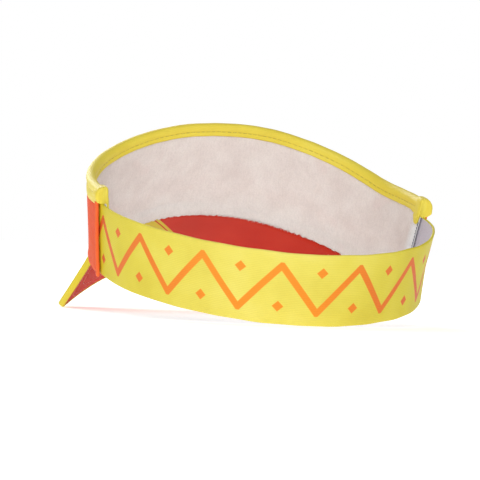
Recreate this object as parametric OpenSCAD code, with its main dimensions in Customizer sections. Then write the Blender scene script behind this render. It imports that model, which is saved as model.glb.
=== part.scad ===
// Sun visor: a lined front panel with a fabric-covered brim, closed at the back by a wide
// elastic band. Millimetres, +Z up. The brim points to -Y and the wearer's left is +X.
// The visor stands on a table at z = 0, on the two low corners of its brim and on the back
// of its elastic band, and the origin is under the middle of its bounding box.
//
// Every wall is described in a band frame first: z = 0 is the bottom edge of the elastic, and
// an angle runs round the head, 0 at the front centre, 90 at the wearer's left ear and 180 at
// the back. stand() then tips the whole visor into its resting position.

/* [Head oval] */
// Half width of the head opening, ear to ear
band_half_w = 81.3; // [76:0.1:87]
// Reach of the oval ahead of the ears
front_reach = 84; // [78:0.5:90]
// Reach of the oval behind the ears
rear_reach = 100; // [92:0.5:108]
// Squareness of the front of the oval, where 2 is an ellipse
front_square = 2.3; // [2:0.05:2.5]
// Squareness of the back of the oval
rear_square = 1.95; // [1.9:0.05:2.3]

/* [Elastic band] */
// Height of the elastic webbing
elastic_h = 35; // [30:1:40]
// Thickness of the elastic webbing
elastic_t = 1.2; // [1:0.1:1.4]
// Outward flare of the elastic towards its top edge, in degrees
elastic_flare = 7; // [3:0.5:9]
// Length of the elastic's end that is sewn in ahead of each side seam
elastic_tab = 5; // [3:0.5:6]
// Angle round the head where the side lengths of elastic meet the rear length
split_angle = 112; // [106:1:120]

/* [Front panel] */
// Angle from the front centre to each side seam
seam_angle = 93; // [91:1:96]
// Height of the top edge at the front centre
panel_centre_h = 61.4; // [56:0.2:68]
// Height of the top edge at the side seams
panel_end_h = 41; // [40:0.5:44]
// Rise of the bottom edge over the brim
panel_arch = 15.3; // [10:0.1:17]
// Backward lean of the panel at the front centre, in degrees
panel_lean = 14; // [6:1:18]
// Thickness of the outer shell fabric
shell_t = 0.6; // [0.4:0.1:0.7]
// Thickness of the stiffening interlining
interlining_t = 0.8; // [0.5:0.1:1]
// Thickness of the terry lining
lining_t = 1.6; // [1.4:0.1:1.8]

/* [Top binding] */
// Height of the folded tape on each face of the panel
binding_h = 5; // [4:0.5:6]
// Height of the tape where its ends are folded down at the side seams
binding_end_h = 7; // [6:0.5:8]
// Rise of the tape's round fold above the panel's edge
binding_rise = 1.6; // [1.2:0.1:2.4]
// Thickness of the folded tape
binding_t = 0.5; // [0.4:0.1:0.7]

/* [Brim] */
// Angle from the front centre to each end of the brim's root
brim_root_angle = 55; // [50:0.5:58]
// Reach of the front edge ahead of the line through the root's ends
brim_reach = 88.6; // [82:0.2:96]
// Downward slope along the centre line, in degrees
brim_slope = 33.2; // [26:0.1:36]
// Extra slope at the sides, which bends the brim over the face, in degrees
brim_side_slope = 8.4; // [4:0.1:12]
// Extra drop of the brim's side edges, half way along them
brim_dip = 2.8; // [0:0.2:3.6]
// Sideways spread of the brim for each millimetre of reach
brim_fan = 0.128; // [0:0.001:0.16]
// Squareness of the outline across the brim
brim_square_x = 5; // [3:0.1:5]
// Squareness of the outline along the brim
brim_square_y = 2.2; // [2:0.1:2.4]
// Extra reach at the centre, which keeps the front edge rounded
brim_crown = 5; // [2:0.5:8]
// Thickness of the stiffening board
board_t = 2; // [1.6:0.1:2.2]
// Thickness of each fabric cover
cover_t = 0.55; // [0.4:0.05:0.6]
// Width of the top cover's edge that is turned under the board
turn_w = 1; // [0.8:0.1:1.5]

/* [Stitching] */
// Length of one stitch
stitch_len = 3; // [2.5:0.1:3.5]
// Height of a thread above the cloth
thread_h = 0.4; // [0.3:0.05:0.5]
// Stitches along the top binding
binding_stitches = 58; // [40:1:62]
// Stitches in each row round the brim
brim_stitches = 60; // [40:1:64]
// Stitches along the brim's root
root_stitches = 34; // [24:1:36]
// Turns of the overlock thread down each side seam
overlock_turns = 12; // [8:1:16]

/* [Hidden] */

yellow = "#F2DE48";
orange_red = "#F25F3C";
bright_orange = "#FF7846";
brim_red = "#D04028";
terry_grey = "#D8CCC5";
thread_yellow = "#DCC845";
thread_grey = "#66707C";
foam_white = "#F4F2EC";
board_grey = "#55585C";

// Clear space between two layers of one sewn stack
ply_gap = 0.1;
// Clear space round the sewn-in end of the elastic, which tilts between its neighbours
lap_gap = 0.4;

// Depth of each layer's outer face behind the outside of the shell
interlining_in = shell_t + ply_gap;
lining_in = interlining_in + interlining_t + ply_gap;
lining_back = lining_in + lining_t;
elastic_in = shell_t + lap_gap;
strip_in = elastic_in + elastic_t + lap_gap;
strip_t = 0.8;
strip_back = strip_in + strip_t;
stack_back = max(lining_back, strip_back);

// Powers that shape the curves of the panel: top edge, bottom edge and lean
top_power = 1.3;
bottom_power = 2.2;
lean_power = 1.8;

// Columns round the panel, and rows up a wall, which is straight from top to bottom
panel_steps = 80;
wall_rows = 2;

// Angle taken by one millimetre of wall at the side seams
deg_per_mm = 180 / (PI * band_half_w);
tab_angle = elastic_tab * deg_per_mm;

// The interlining and the lining stop short of the sewn-in elastic
lining_stop = seam_angle - tab_angle - 1.2 * deg_per_mm;
interlining_inset = 3;
lining_drop = 2.4;
// The lining's turned edge starts under the lining and ends behind the seam
strip_lead = 1.5;
strip_past = 3;

brim_root_depth = 0.5;
brim_root_drop = 1.6;
cover_in = board_t / 2 + ply_gap;
cover_out = cover_in + cover_t;
// Share of the brim's outline that is built, just short of its two pointed ends
rim_stop = 0.97;
rim_steps = 56;
brim_rows = 5;
// Distances of the two rows of stitches from the brim's edge
stitch_rows = [3.5, 7.5];
stitch_stop = 0.88;

piping_w = 2.2;
piping_out = 0.5;

function smooth(t) = let (c = min(1, max(0, t))) c * c * (3 - 2 * c);
function unit(v) = v / norm(v);
function signed_pow(v, p) = sign(v) * pow(abs(v), p);

// Oval seen from above, and its outward normal
function oval_reach(a) = cos(a) > 0 ? front_reach : rear_reach;
function oval_square(a) = cos(a) > 0 ? front_square : rear_square;
function oval(a) = [
    band_half_w * signed_pow(sin(a), 2 / oval_square(a)),
    -oval_reach(a) * signed_pow(cos(a), 2 / oval_square(a))
];
function oval_normal(a) =
    let (p = oval(a), q = oval_square(a) - 1, r = oval_reach(a))
    unit([
        signed_pow(p.x / band_half_w, q) / band_half_w,
        signed_pow(p.y / r, q) / r
    ]);

// Outward lean of the wall, which changes from the elastic's flare to the panel's lean
function panel_share(a) = max(0, 1 - abs(a) / seam_angle);
function wall_lean(a) =
    let (t = pow(0.5 - 0.5 * cos(180 * panel_share(a)), lean_power))
    elastic_flare - (elastic_flare + panel_lean) * t;

// Point of the wall at an angle, a height and a depth behind the outside of the shell
function wall(a, z, depth) =
    let (
        p = oval(a),
        n = oval_normal(a),
        out = (z - elastic_h / 2) * tan(wall_lean(a)) - depth
    )
    [p.x + n.x * out, p.y + n.y * out, z];

function bell(a) = 0.5 + 0.5 * cos(180 * min(1, abs(a) / seam_angle));
function panel_top(a) =
    panel_end_h + (panel_centre_h - panel_end_h) * pow(bell(a), top_power);
function panel_bottom(a) = panel_arch * pow(bell(a), bottom_power);

// Angles of the panel's columns, cut off at an angle. Every layer shares them, so that the
// flat facets of one layer lie along those of the next.
function panel_columns(stop) = concat(
    [-stop],
    [for (i = [1:panel_steps - 1]) let (a = seam_angle * (2 * i / panel_steps - 1))
        if (abs(a) < stop - 0.5) a],
    [stop]
);

// Closed ring round a slice of wall: up the outer face and down the inner one
function wall_ring(a, z0, z1, d0, d1) = concat(
    [for (j = [0:wall_rows]) wall(a, z0 + (z1 - z0) * j / wall_rows, d0)],
    [for (j = [wall_rows:-1:0]) wall(a, z0 + (z1 - z0) * j / wall_rows, d1)]
);

// Solid through a row of rings. Each ring has an even number of points, and its first half
// faces its second half, so that the two ends close with strips.
module sweep(rings) {
    n = len(rings[0]);
    last = (len(rings) - 1) * n;
    sides = [
        for (i = [0:len(rings) - 2], j = [0:n - 1])
            let (a = i * n + j, b = i * n + (j + 1) % n)
            each j < n / 2
                ? [[a, b, b + n], [a, b + n, a + n]]
                : [[a, b, a + n], [b, b + n, a + n]]
    ];
    caps = [
        for (j = [0:n / 2 - 2])
            let (p = j, q = j + 1, r = n - 2 - j, s = n - 1 - j)
            each [
                [p, s, r], [p, r, q],
                [last + p, last + q, last + r], [last + p, last + r, last + s]
            ]
    ];
    polyhedron(points = [for (r = rings) each r], faces = concat(sides, caps), convexity = 6);
}

// One straight stitch between two points, lying on a surface with the normal up
module stitch(from, to, up) {
    side = unit(cross(to - from, up)) * thread_h;
    rise = up * thread_h;
    sweep([
        for (p = [from, to])
            [p + side, p + side / 2 + rise, p - side / 2 + rise, p - side]
    ]);
}

// Brim: its root follows the panel's bottom edge, and it runs forward and down, straight
// along its centre line and with a slight dip along its sides
function brim_root(a) =
    wall(a, panel_bottom(a) - brim_root_drop, brim_root_depth);
brim_end = brim_root(brim_root_angle);
function brim_u(a) = brim_root(a).x / brim_end.x;
function brim_pt(a, d) =
    let (
        r = brim_root(a),
        u = brim_u(a),
        s = brim_slope + brim_side_slope * u * u,
        part = d / brim_reach,
        dip = 4 * brim_dip * part * (1 - part) * u * u
    )
    [r.x + brim_fan * u * d, r.y - d, r.z - d * tan(s) - dip];
function brim_normal(a, d) =
    unit(cross(
        brim_pt(a + 0.5, d) - brim_pt(a - 0.5, d),
        brim_pt(a, d) - brim_pt(a, d + 1)
    ));

// Outline of the brim, moved inwards by inset, at a share of the way from its centre (0) to
// its ends (-1 and 1): the angle of its root point and the distance forward from it. The
// share is bent so that equal steps of it are nearly equal lengths of the outline.
function rim_u(share) = 1 - pow(1 - abs(share), 2.5);
function rim_angle(share, inset) =
    let (u = (1 - inset / brim_end.x) * rim_u(share))
    sign(share) * asin(sin(brim_root_angle) * pow(u, front_square / 2));
function rim_len(share, inset) =
    let (u = rim_u(share))
    (brim_reach - inset) * pow(1 - pow(u, brim_square_x), 1 / brim_square_y)
    + brim_crown * pow(1 - u * u, 2)
    - (brim_end.y - brim_root(rim_angle(share, inset)).y);
function rim_pt(share, inset) = brim_pt(rim_angle(share, inset), rim_len(share, inset));
function rim_normal(share, inset) =
    brim_normal(rim_angle(share, inset), rim_len(share, inset));
function rim_share(i) = rim_stop * (2 * i / rim_steps - 1);
function rim_along(share, inset) =
    unit(rim_pt(share + 0.01, inset) - rim_pt(share - 0.01, inset));

// Ring round a slice of brim between two heights above its middle surface
function brim_ring(share, inset, h0, h1) =
    let (a = rim_angle(share, inset), len = rim_len(share, inset))
    concat(
        [for (j = [brim_rows:-1:0]) let (d = len * j / brim_rows)
            brim_pt(a, d) + brim_normal(a, d) * h1],
        [for (j = [0:brim_rows]) let (d = len * j / brim_rows)
            brim_pt(a, d) + brim_normal(a, d) * h0]
    );

// Top cover: from its edge turned under the board, round the nose and over the top to the
// root. Distances are outwards from the board's rim and up from its middle surface.
nose_steps = 4;
function cover_turn(h) = concat(
    [[-turn_w, -h]],
    [for (k = [0:nose_steps]) let (b = -90 + 180 * k / nose_steps)
        [ply_gap + (h - board_t / 2) * cos(b), h * sin(b)]]
);
function cover_side(share, h) =
    let (
        a = rim_angle(share, 0),
        len = rim_len(share, 0),
        p = rim_pt(share, 0),
        up = rim_normal(share, 0),
        out = unit(cross(rim_along(share, 0), up))
    )
    concat(
        [for (q = cover_turn(h)) p + out * q.x + up * q.y],
        [for (j = [brim_rows - 1:-1:0]) let (d = len * j / brim_rows)
            brim_pt(a, d) + brim_normal(a, d) * h]
    );
function cover_ring(share) =
    let (outer = cover_side(share, cover_out), inner = cover_side(share, cover_in))
    concat(outer, [for (k = [len(inner) - 1:-1:0]) inner[k]]);

// Height where the folded ends of the tape stop, above the elastic's bottom edge
tape_foot = panel_end_h - binding_end_h;
// Height of the tape on the panel's faces: taller where its ends are folded down
function tape_h(a) =
    let (mm_to_seam = (seam_angle - abs(a)) / deg_per_mm)
    binding_h + (binding_end_h - binding_h) * (1 - smooth((mm_to_seam - 7) / 4));

// Ring round the folded tape: up the outer face, over the edge and down the lining
tape_out = ply_gap + binding_t;
function tape_fold(grow, rise, leg) =
    let (mid = stack_back / 2, half = stack_back / 2 + grow)
    concat(
        [[mid - half, -leg]],
        [for (k = [0:4]) let (b = 180 - 45 * k) [mid + half * cos(b), rise * sin(b)]],
        [[mid + half, -leg]]
    );
function tape_ring(a) =
    let (
        leg = tape_h(a),
        outer = tape_fold(tape_out, binding_rise, leg),
        inner = tape_fold(ply_gap, binding_rise - binding_t, leg)
    )
    [
        for (q = concat(outer, [for (k = [len(inner) - 1:-1:0]) inner[k]]))
            wall(a, panel_top(a) + ply_gap + q.y, q.x)
    ];

// Depth of the elastic: it dives under the panel's edge at the seams
function elastic_depth(a) =
    let (past = min(abs(a), 360 - abs(a)) - seam_angle)
    elastic_in * (1 - smooth(past / 14));
function elastic_ring(a) =
    let (d = elastic_depth(a))
    wall_ring(a, 0, elastic_h, d, d + elastic_t);
// Half of the cut between two lengths of elastic, as an angle
split_half_gap = 0.2 * deg_per_mm;

// Resting position: tip the visor until the brim's low corners and the elastic's back lie
// on one level, lift it onto z = 0 and centre it on the origin
function tipped(p, tip) = [p.x, p.y * cos(tip) + p.z * sin(tip), p.z * cos(tip) - p.y * sin(tip)];
rim_skin = [for (i = [0:rim_steps]) each cover_side(rim_share(i), cover_out)];
rear_foot = wall(180, 0, 0);
function low_corner(tip) =
    let (low = min([for (p = rim_skin) tipped(p, tip).z]))
    [for (p = rim_skin) if (tipped(p, tip).z == low) p][0];
function tip_for(tip, tries) =
    let (p = low_corner(tip))
    tries == 0 ? tip : tip_for(atan((rear_foot.z - p.z) / (rear_foot.y - p.y)), tries - 1);
stand_tip = tip_for(11, 4);
stand_lift = -min(tipped(low_corner(stand_tip), stand_tip).z, tipped(rear_foot, stand_tip).z);
front_y = min([for (p = rim_skin) tipped(p, stand_tip).y]);
back_y = max([for (a = [170:2.5:190], z = [0, elastic_h]) tipped(wall(a, z, 0), stand_tip).y]);
module stand() {
    translate([0, -(front_y + back_y) / 2, stand_lift])
        rotate([-stand_tip, 0, 0])
            children();
}

module at_side(side) {
    if (side > 0) children();
    else mirror([1, 0, 0]) children();
}

// Outer shell fabric of the front panel
module front_shell() {
    stop = seam_angle - (piping_w + ply_gap) * deg_per_mm;
    color(orange_red) stand() sweep([
        for (a = panel_columns(stop))
            wall_ring(a, panel_bottom(a), panel_top(a), 0, shell_t)
    ]);
}

// Stiffening layer between shell and lining
module panel_interlining() {
    color(foam_white) stand() sweep([
        for (a = panel_columns(lining_stop - interlining_inset * deg_per_mm))
            wall_ring(a, panel_bottom(a) + interlining_inset,
                panel_top(a) - interlining_inset, interlining_in,
                interlining_in + interlining_t)
    ]);
}

// Terry lining with its edge turned over the elastic's sewn-in end at each side
module terry_lining() {
    color(terry_grey) stand() {
        sweep([
            for (a = panel_columns(lining_stop))
                let (drop = lining_drop * smooth(bell(a) * 3))
                wall_ring(a, panel_bottom(a) - drop, panel_top(a), lining_in, lining_back)
        ]);
        strip_from = lining_stop - strip_lead * deg_per_mm;
        strip_to = seam_angle + strip_past * deg_per_mm;
        for (side = [-1, 1]) at_side(side) sweep([
            for (k = [0:5])
                let (a = strip_from + (strip_to - strip_from) * k / 5)
                wall_ring(a, 0.5, tape_foot - 0.3, strip_in, strip_back)
        ]);
    }
}

// Folded tape over the panel's top edge, its two ends folded shut at the side seams
module top_binding() {
    end_t = binding_t * deg_per_mm;
    color(yellow) stand() {
        sweep([for (a = panel_columns(seam_angle)) tape_ring(a)]);
        for (side = [-1, 1]) at_side(side) sweep([
            for (a = [seam_angle, seam_angle + end_t])
                wall_ring(a, elastic_h + 1, panel_end_h + binding_rise / 2,
                    -tape_out, stack_back + tape_out)
        ]);
    }
}

// Stitches along the lower edge of the tape, on the inside
module top_binding_stitching() {
    stop = seam_angle - 16 * deg_per_mm;
    pitch = 2 * stop / binding_stitches;
    depth = stack_back + tape_out + ply_gap;
    above_edge = 1.2;
    color(thread_yellow) stand() for (k = [0:binding_stitches - 1]) {
        a = -stop + pitch * (k + 0.5);
        half = stitch_len / 2 * deg_per_mm;
        inward = oval_normal(a) * -1;
        stitch(
            wall(a - half, panel_top(a - half) - binding_h + above_edge, depth),
            wall(a + half, panel_top(a + half) - binding_h + above_edge, depth),
            [inward.x, inward.y, 0]
        );
    }
}

// Stiff board inside the brim
module brim_board() {
    color(board_grey) stand() sweep([
        for (i = [0:rim_steps]) brim_ring(rim_share(i), 0, -board_t / 2, board_t / 2)
    ]);
}

// Fabric over the board, turned round its edge
module brim_top_cover() {
    color(yellow) stand() sweep([for (i = [0:rim_steps]) cover_ring(rim_share(i))]);
}

// Fabric under the board, up to the top cover's turned edge
module brim_under_cover() {
    color(brim_red) stand() sweep([
        for (i = [0:rim_steps])
            brim_ring(rim_share(i), turn_w + ply_gap, -cover_out, -cover_in)
    ]);
}

// Two rows of stitches round the top of the brim
module brim_edge_stitching() {
    height = cover_out + ply_gap;
    color(thread_yellow) stand() for (inset = stitch_rows, k = [0:brim_stitches - 1]) {
        share = stitch_stop * (2 * (k + 0.5) / brim_stitches - 1);
        up = rim_normal(share, inset);
        middle = rim_pt(share, inset);
        step = rim_along(share, inset) * stitch_len / 2;
        stitch(middle - step + up * height, middle + step + up * height, up);
    }
}

// Stitches that join the shell, the brim and the lining, just above the brim's root
module brim_root_stitching() {
    pitch = 2 * (brim_root_angle - 2) / root_stitches;
    above_edge = 1.8;
    color(orange_red) stand() for (k = [0:root_stitches - 1]) {
        a = -(brim_root_angle - 2) + pitch * (k + 0.5);
        half = stitch_len / 2 * deg_per_mm * 0.8;
        outward = oval_normal(a);
        stitch(
            wall(a + half, panel_bottom(a + half) + above_edge, -ply_gap),
            wall(a - half, panel_bottom(a - half) + above_edge, -ply_gap),
            [outward.x, outward.y, 0]
        );
    }
}

// Folded strip of bright fabric caught in the side seam, over the elastic
module side_piping(side) {
    from = seam_angle - piping_w * deg_per_mm;
    top = tape_foot - 0.3;
    section = [
        for (k = [0:7])
            let (b = 225 - 45 * k)
            [0.5 + 0.5 * cos(b), 0.5 + 0.5 * sin(b)]
    ];
    color(bright_orange) stand() at_side(side) sweep([
        for (k = [0:12])
            let (z = top * (1 - k / 12))
            [
                for (q = section)
                    wall(from + q.x * piping_w * deg_per_mm, z,
                        shell_t - q.y * (shell_t + piping_out))
            ]
    ]);
}

// Overlock thread over the raw edge of the lining's turned strip
module side_overlock(side) {
    top = tape_foot - 1;
    bottom = 1.5;
    depth = strip_back + ply_gap + thread_h;
    width = 2.4;
    half_w = thread_h * deg_per_mm;
    turn = (top - bottom) / overlock_turns / 2;
    color(thread_grey) stand() at_side(side) sweep([
        for (k = [0:2 * overlock_turns])
            let (
                a = seam_angle + (strip_past - (k % 2 == 0 ? 0.4 : width)) * deg_per_mm,
                z = bottom + k * turn
            )
            [
                wall(a + half_w, z, depth),
                wall(a, z, depth - thread_h),
                wall(a - half_w, z, depth),
                wall(a, z, depth + thread_h)
            ]
    ]);
}

// One side length of the elastic, from its sewn-in end to the cut
module elastic_side(side) {
    from = seam_angle - tab_angle;
    to = split_angle - split_half_gap;
    steps = 12;
    color(yellow) stand() at_side(side) sweep([
        for (k = [0:steps]) elastic_ring(from + (to - from) * k / steps)
    ]);
}

// Rear length of the elastic, round the back of the head
module elastic_rear() {
    from = split_angle + split_half_gap;
    to = 360 - from;
    steps = 48;
    color(yellow) stand() sweep([
        for (k = [0:steps]) elastic_ring(from + (to - from) * k / steps)
    ]);
}

front_shell();
panel_interlining();
terry_lining();
top_binding();
top_binding_stitching();
brim_board();
brim_top_cover();
brim_under_cover();
brim_edge_stitching();
brim_root_stitching();
side_piping(1);  // side_piping_left
side_piping(-1);  // side_piping_right
side_overlock(1);  // side_overlock_left
side_overlock(-1);  // side_overlock_right
elastic_side(1);  // elastic_left
elastic_side(-1);  // elastic_right
elastic_rear();
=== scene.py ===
import math
import bpy
import numpy as np
from mathutils import Vector, Matrix


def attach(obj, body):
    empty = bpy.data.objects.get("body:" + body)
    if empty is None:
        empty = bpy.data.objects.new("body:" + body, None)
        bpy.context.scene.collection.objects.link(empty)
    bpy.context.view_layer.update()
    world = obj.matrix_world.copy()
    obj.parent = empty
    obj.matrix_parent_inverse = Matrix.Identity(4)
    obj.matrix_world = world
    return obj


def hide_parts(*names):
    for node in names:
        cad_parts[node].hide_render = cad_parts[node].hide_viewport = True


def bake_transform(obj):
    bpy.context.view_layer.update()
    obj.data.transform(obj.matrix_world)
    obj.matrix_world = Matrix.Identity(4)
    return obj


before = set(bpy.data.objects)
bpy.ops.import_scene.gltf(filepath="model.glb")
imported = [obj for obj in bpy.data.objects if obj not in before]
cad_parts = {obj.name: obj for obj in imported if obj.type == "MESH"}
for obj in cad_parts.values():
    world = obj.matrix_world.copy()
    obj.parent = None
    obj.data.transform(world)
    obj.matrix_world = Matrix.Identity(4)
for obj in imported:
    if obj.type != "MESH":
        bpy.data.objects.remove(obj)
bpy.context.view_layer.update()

# -------------------- the part's own shape, in mm and degrees
# How the band frame is tipped, lifted and shifted, then the oval: half width, lengths and roundness
TIP, LIFT, SHIFT = math.radians(11.995), 20.336, 20.2188
HALF_W, FRONT, REAR, SQ_F, SQ_R = 81.3, 84.0, 100.0, 2.3, 1.95
# The elastic and its sewn-in ends, the panel's outline and lean, and the thickness of each layer
BAND_H, BAND_T, FLARE, TAB = 35.0, 1.2, 7.0, 5.0
SEAM, CENTRE_H, END_H, ARCH, LEAN = 93.0, 61.4, 41.0, 15.3, 14.0
SHELL_T, FOAM_T, TERRY_T, GAP, LAP = 0.6, 0.8, 1.6, 0.1, 0.4
TERRY_IN = SHELL_T + GAP + FOAM_T + GAP
TERRY_BACK = TERRY_IN + TERRY_T
BAND_IN = SHELL_T + LAP
STRIP_IN = BAND_IN + BAND_T + LAP
STRIP_BACK = STRIP_IN + 0.8
STACK = max(TERRY_BACK, STRIP_BACK)  # all the layers at the side seam
TAPE_H, TAPE_END = 5.0, 7.0
TAPE_FOOT = END_H - TAPE_END
# The brim: where its root ends, its length, slopes, plan and layers
ROOT_A, ROOT_DROP, ROOT_IN = 55.0, 1.6, 0.5
REACH, SLOPE, SIDE_SLOPE, DIP, FAN = 88.6, 33.2, 8.4, 2.8, 0.128
BSQ_X, BSQ_Y, CROWN, BOARD_T, COVER_T = 5.0, 2.2, 5.0, 2.0, 0.55
COVER_IN = BOARD_T / 2 + GAP
COVER_OUT = COVER_IN + COVER_T
DEG = 180 / (math.pi * HALF_W)  # degrees in one mm of wall at the side seams
SIDES = ((1, "left"), (-1, "right"))

# How this slack visor stands in the photo, uneven towards the wearer's right
SWAY = 0.028  # sideways lean for each mm above the elastic's middle
SAG, SAG_AT, SAG_WIDE = 1.5, -66, 13  # how far the top edge sinks, where, and over how much
KICK, KICK_AT, KICK_WIDE = 1.4, -112, 26  # the same for the lower edge that stands out behind the ear


def ease(t):
    """Smooth step from 0 to 1."""
    c = np.clip(t, 0, 1)
    return c * c * (3 - 2 * c)


def spow(v, p):
    return np.sign(v) * np.abs(v) ** p


def dcos(a):
    return np.cos(np.radians(a))


def dsin(a):
    return np.sin(np.radians(a))


def unit(v):
    return v / np.linalg.norm(v, axis=-1, keepdims=True)


def oval(a):
    """Point of the wall's oval at an angle, 0 at the front and positive to the wearer's left."""
    front = dcos(a) > 0
    sq, r = np.where(front, SQ_F, SQ_R), np.where(front, FRONT, REAR)
    return HALF_W * spow(dsin(a), 2 / sq), -r * spow(dcos(a), 2 / sq)


def normal(a):
    x, y = oval(a)
    front = dcos(a) > 0
    q, r = np.where(front, SQ_F, SQ_R) - 1, np.where(front, FRONT, REAR)
    nx, ny = spow(x / HALF_W, q) / HALF_W, spow(y / r, q) / r
    n = np.hypot(nx, ny)
    return nx / n, ny / n


def lean(a):
    """Outward lean of the wall: backwards in the middle of the panel, flared at the elastic."""
    share = np.maximum(0, 1 - np.abs(a) / SEAM)
    return FLARE - (FLARE + LEAN) * (0.5 - 0.5 * dcos(180 * share)) ** 1.8


def wall(a, z, depth):
    """Point in the band frame at an angle, a height and a depth in from the wall's outer face."""
    a, z, depth = np.broadcast_arrays(np.asarray(a, float), np.asarray(z, float), np.asarray(depth, float))
    x, y = oval(a)
    nx, ny = normal(a)
    out = (z - BAND_H / 2) * np.tan(np.radians(lean(a))) - depth
    behind = np.exp(-((np.where(a > 180, a - 360, a) - KICK_AT) / KICK_WIDE) ** 2)
    out = out + KICK * behind * np.maximum(0, 1 - 2 * z / BAND_H)
    return np.stack([x + nx * out - SWAY * np.maximum(0, z - BAND_H / 2), y + ny * out, z], -1)


def bell(a):
    return 0.5 + 0.5 * dcos(180 * np.minimum(1, np.abs(a) / SEAM))


def top_z(a):
    """Top edge of the wall, with the soft panel's slight sag on the wearer's right."""
    return END_H + (CENTRE_H - END_H) * bell(a) ** 1.3 - SAG * np.exp(-((a - SAG_AT) / SAG_WIDE) ** 2)


def bottom_z(a):
    return ARCH * bell(a) ** 2.2


def root(a):
    return wall(a, bottom_z(a) - ROOT_DROP, ROOT_IN)


ROOT_END = root(ROOT_A)


def brim_pt(a, d):
    """Point on the middle of the board, d ahead of the root."""
    r = root(a)
    u = r[..., 0] / ROOT_END[0]
    s = SLOPE + SIDE_SLOPE * u * u
    dip = 4 * DIP * (d / REACH) * (1 - d / REACH) * u * u
    down = d * np.tan(np.radians(s)) + dip
    return np.stack([r[..., 0] + FAN * u * d, r[..., 1] - d, r[..., 2] - down], -1)


def brim_n(a, d):
    return unit(np.cross(brim_pt(a + 0.5, d) - brim_pt(a - 0.5, d), brim_pt(a, d) - brim_pt(a, d + 1)))


def rim_u(t):
    return 1 - (1 - np.abs(t)) ** 2.5


def rim_a(t, inset):
    u = (1 - inset / ROOT_END[0]) * rim_u(t)
    return np.sign(t) * np.degrees(np.arcsin(dsin(ROOT_A) * u ** (SQ_F / 2)))


def rim_len(t, inset):
    u = rim_u(t)
    return ((REACH - inset) * (1 - u ** BSQ_X) ** (1 / BSQ_Y) + CROWN * (1 - u * u) ** 2
            - (ROOT_END[1] - root(rim_a(t, inset))[..., 1]))


def rim_pt(t, inset):
    return brim_pt(rim_a(t, inset), rim_len(t, inset))


def rim_n(t, inset):
    return brim_n(rim_a(t, inset), rim_len(t, inset))


def rim_along(t, inset):
    return unit(rim_pt(t + 0.005, inset) - rim_pt(t - 0.005, inset))


def stand(p):
    """Band frame in mm to the row frame in metres."""
    p = np.asarray(p, float)
    c, s = math.cos(TIP), math.sin(TIP)
    return np.stack([p[..., 0], p[..., 1] * c + p[..., 2] * s + SHIFT,
                     p[..., 2] * c - p[..., 1] * s + LIFT], -1) / 1000


def stand_dir(v):
    c, s = math.cos(TIP), math.sin(TIP)
    return Vector((v[0], v[1] * c + v[2] * s, v[2] * c - v[1] * s))


def run(p):
    """Length along a line of points, from its first point to each one."""
    return np.concatenate([[0], np.cumsum(np.linalg.norm(np.diff(p, axis=0), axis=1))])


def around(ring):
    """The same round a closed ring, back to its first point."""
    return run(np.concatenate([ring, ring[:1]]))


# Length round the wall at mid height, both ways
ARC_A = np.linspace(0, 360, 7201)
ARC_S = run(wall(ARC_A, BAND_H / 2, 0))
WHOLE = float(ARC_S[-1])


def arc(a):
    return np.sign(a) * np.interp(np.abs(a), ARC_A, ARC_S)


def at_arc(s):
    return np.sign(s) * np.interp(np.abs(s), ARC_S, ARC_A)


SEAM_S = float(arc(SEAM))


def past_seam(a):
    """Degrees behind the nearer side seam."""
    return np.minimum(np.abs(a), 360 - np.abs(a)) - SEAM


def waves(u, v, size, seed, n=7):
    """Smooth seeded unevenness of about one unit, for a length scale in mm."""
    rng = np.random.default_rng(seed)
    out = 0
    for _ in range(n):
        t, f, p = rng.uniform(0, 2 * math.pi), rng.uniform(0.6, 1.5) / size, rng.uniform(0, 2 * math.pi)
        out = out + np.sin(2 * math.pi * f * (u * math.cos(t) + v * math.sin(t)) + p)
    return out / math.sqrt(n)


# -------------------- meshes
def mesh(name, verts, faces, mat, uv=None, smooth=None):
    me = bpy.data.meshes.new(name)
    me.from_pydata(verts.tolist(), [], faces)
    if uv is not None:
        layer = me.uv_layers.new(name="cloth")
        layer.data.foreach_set("uv", np.asarray(uv, np.float32).ravel())
    smooth = len(me.polygons) if smooth is None else smooth
    me.polygons.foreach_set("use_smooth", [i < smooth for i in range(len(me.polygons))])
    me.update()
    ob = bpy.data.objects.new(name, me)
    bpy.context.scene.collection.objects.link(ob)
    me.materials.append(mat)
    return ob


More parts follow.
